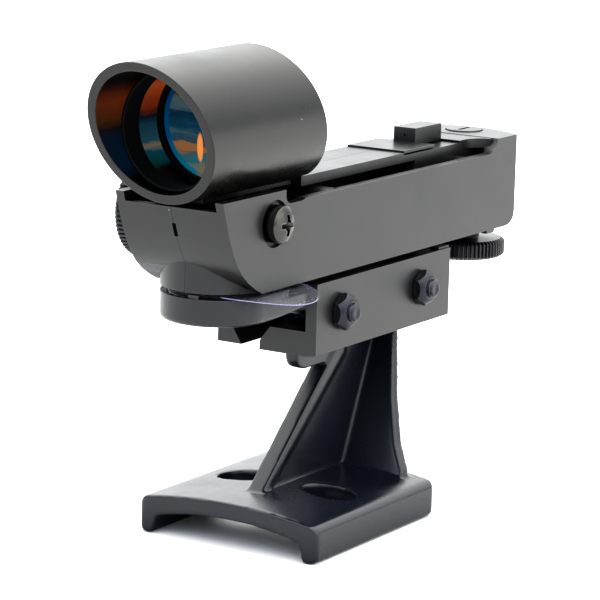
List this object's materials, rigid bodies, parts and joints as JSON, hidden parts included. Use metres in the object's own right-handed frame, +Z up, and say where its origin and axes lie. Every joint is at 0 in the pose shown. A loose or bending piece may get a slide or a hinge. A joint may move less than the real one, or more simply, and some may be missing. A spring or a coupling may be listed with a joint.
{
  "type": "reflex star pointer sight on saddle bracket",
  "caption": "Red-dot star pointer: slanted sight tube with coated reflector on a long split case, battery cup, adjuster knobs and dovetail clamp, on a tall saddle bracket for a telescope.",
  "frame": {"origin": "middle of the whole part's box in plan, on the plane that the saddle bracket's skirts stand on", "axes": "+Z up; +Y towards the rear of the sight, away from the tube's mouth; +X towards the clamp nuts"},
  "size_m": [0.0488, 0.1432, 0.1073],
  "materials": {
    "bracket_plastic": "satin moulded black plastic with a fine grain",
    "clamp_plastic": "satin moulded dark grey-black plastic",
    "case_plastic": "satin moulded dark grey-black plastic with a fine spark grain",
    "cover_plastic": "satin moulded dark grey-black plastic",
    "tube_plastic": "satin black plastic, smooth outside and matt inside",
    "knob_plastic": "semi-gloss black plastic, knurled rim",
    "fastener_steel": "black-zinc plated steel",
    "screw_steel": "dark nickel plated steel",
    "shaft_steel": "plain turned steel",
    "nut_brass": "turned brass",
    "contact_metal": "sprung phosphor bronze",
    "cell_steel": "bright nickel plated steel",
    "clear_film": "clear polyester film",
    "board_laminate": "green solder-masked laminate",
    "pot_case": "dark lacquered metal",
    "lens_glass": "clear glass with a blue-green and amber dichroic coating",
    "baffle_black": "dead matt black",
    "led_epoxy": "red tinted clear epoxy"
  },
  "bodies": {
    "bracket": {"bracket": "bracket_plastic"},
    "dovetail_clamp": {"dovetail_foot": "clamp_plastic", "clamp_bolt_front": "fastener_steel", "clamp_bolt_rear": "fastener_steel", "altitude_nut": "nut_brass"},
    "clamp_plate": {"clamp_plate": "clamp_plastic"},
    "clamp_nut_front": {"clamp_nut_front": "fastener_steel"},
    "clamp_nut_rear": {"clamp_nut_rear": "fastener_steel"},
    "azimuth_nut": {"azimuth_nut": "nut_brass"},
    "sight_housing": {"housing_left": "case_plastic", "housing_right": "case_plastic", "case_screw_front": "fastener_steel", "case_screw_middle": "fastener_steel", "case_screw_rear": "fastener_steel", "battery_contact_upper": "contact_metal", "circuit_board": "board_laminate", "brightness_potentiometer": "pot_case", "led_housing": "case_plastic", "led": "led_epoxy", "sight_tube": "tube_plastic", "reflector_lens": "lens_glass", "lens_retaining_ring": "baffle_black", "front_baffle_ring": "baffle_black"},
    "altitude_knob": {"altitude_knob": "knob_plastic", "altitude_shaft": "fastener_steel"},
    "azimuth_knob": {"azimuth_knob": "knob_plastic", "azimuth_shaft": "shaft_steel", "pivot_screw": "screw_steel"},
    "battery_cover": {"battery_cover": "cover_plastic", "coin_cell": "cell_steel", "battery_contact_lower": "contact_metal"},
    "battery_pull_tab": {"battery_pull_tab": "clear_film"},
    "brightness_wheel": {"brightness_wheel": "knob_plastic"}
  },
  "joints": [
    {"name": "rail_slide", "type": "slide", "parent": "bracket", "child": "dovetail_clamp", "axis": [0, 1, 0], "range_m": [-0.008, 0.008]},
    {"name": "clamp_plate_slide", "type": "slide", "parent": "dovetail_clamp", "child": "clamp_plate", "axis": [1, 0, 0], "range_m": [0, 0.00105]},
    {"name": "clamp_nut_front_turn", "type": "hinge", "parent": "clamp_plate", "child": "clamp_nut_front", "pos_m": [0.0182, -0.01282, 0.0504], "axis": [1, 0, 0], "range_deg": [0, 540]},
    {"name": "clamp_nut_rear_turn", "type": "hinge", "parent": "clamp_plate", "child": "clamp_nut_rear", "pos_m": [0.0182, 0.02058, 0.0504], "axis": [1, 0, 0], "range_deg": [0, 540]},
    {"name": "altitude_tilt", "type": "hinge", "parent": "dovetail_clamp", "child": "azimuth_nut", "pos_m": [0.0034, -0.03952, 0.0726], "axis": [1, 0, 0], "range_deg": [-0.6, 1.2]},
    {"name": "altitude_knob_turn", "type": "hinge", "parent": "sight_housing", "child": "altitude_knob", "pos_m": [0.0034, 0.06118, 0.06], "axis": [0, 0, 1], "range_deg": [-544, 1087]},
    {"name": "azimuth_swing", "type": "hinge", "parent": "azimuth_nut", "child": "sight_housing", "pos_m": [0.0034, 0.06118, 0.066], "axis": [0, 0, 1], "range_deg": [-0.8, 0.8]},
    {"name": "azimuth_knob_turn", "type": "hinge", "parent": "sight_housing", "child": "azimuth_knob", "pos_m": [0.0034, -0.03952, 0.0726], "axis": [1, 0, 0], "range_deg": [-725, 725]},
    {"name": "battery_cover_pull", "type": "slide", "parent": "sight_housing", "child": "battery_cover", "axis": [0, 0, -1], "range_m": [0, 0.008]},
    {"name": "pull_tab_slide", "type": "slide", "parent": "sight_housing", "child": "battery_pull_tab", "axis": [-1, 0, 0], "range_m": [0, 0.05]},
    {"name": "brightness_wheel_turn", "type": "hinge", "parent": "sight_housing", "child": "brightness_wheel", "pos_m": [-0.0042, 0.00848, 0.0689], "axis": [0, 0, 1], "range_deg": [0, 270]}
  ],
  "couplings": [
    {"joint": "clamp_nut_front_turn", "follows": "clamp_plate_slide", "rad_per_m": 8976},
    {"joint": "clamp_nut_rear_turn", "follows": "clamp_plate_slide", "rad_per_m": 8976},
    {"joint": "altitude_knob_turn", "follows": "altitude_tilt", "ratio": 903.88},
    {"joint": "azimuth_knob_turn", "follows": "azimuth_swing", "ratio": 903.88}
  ]
}
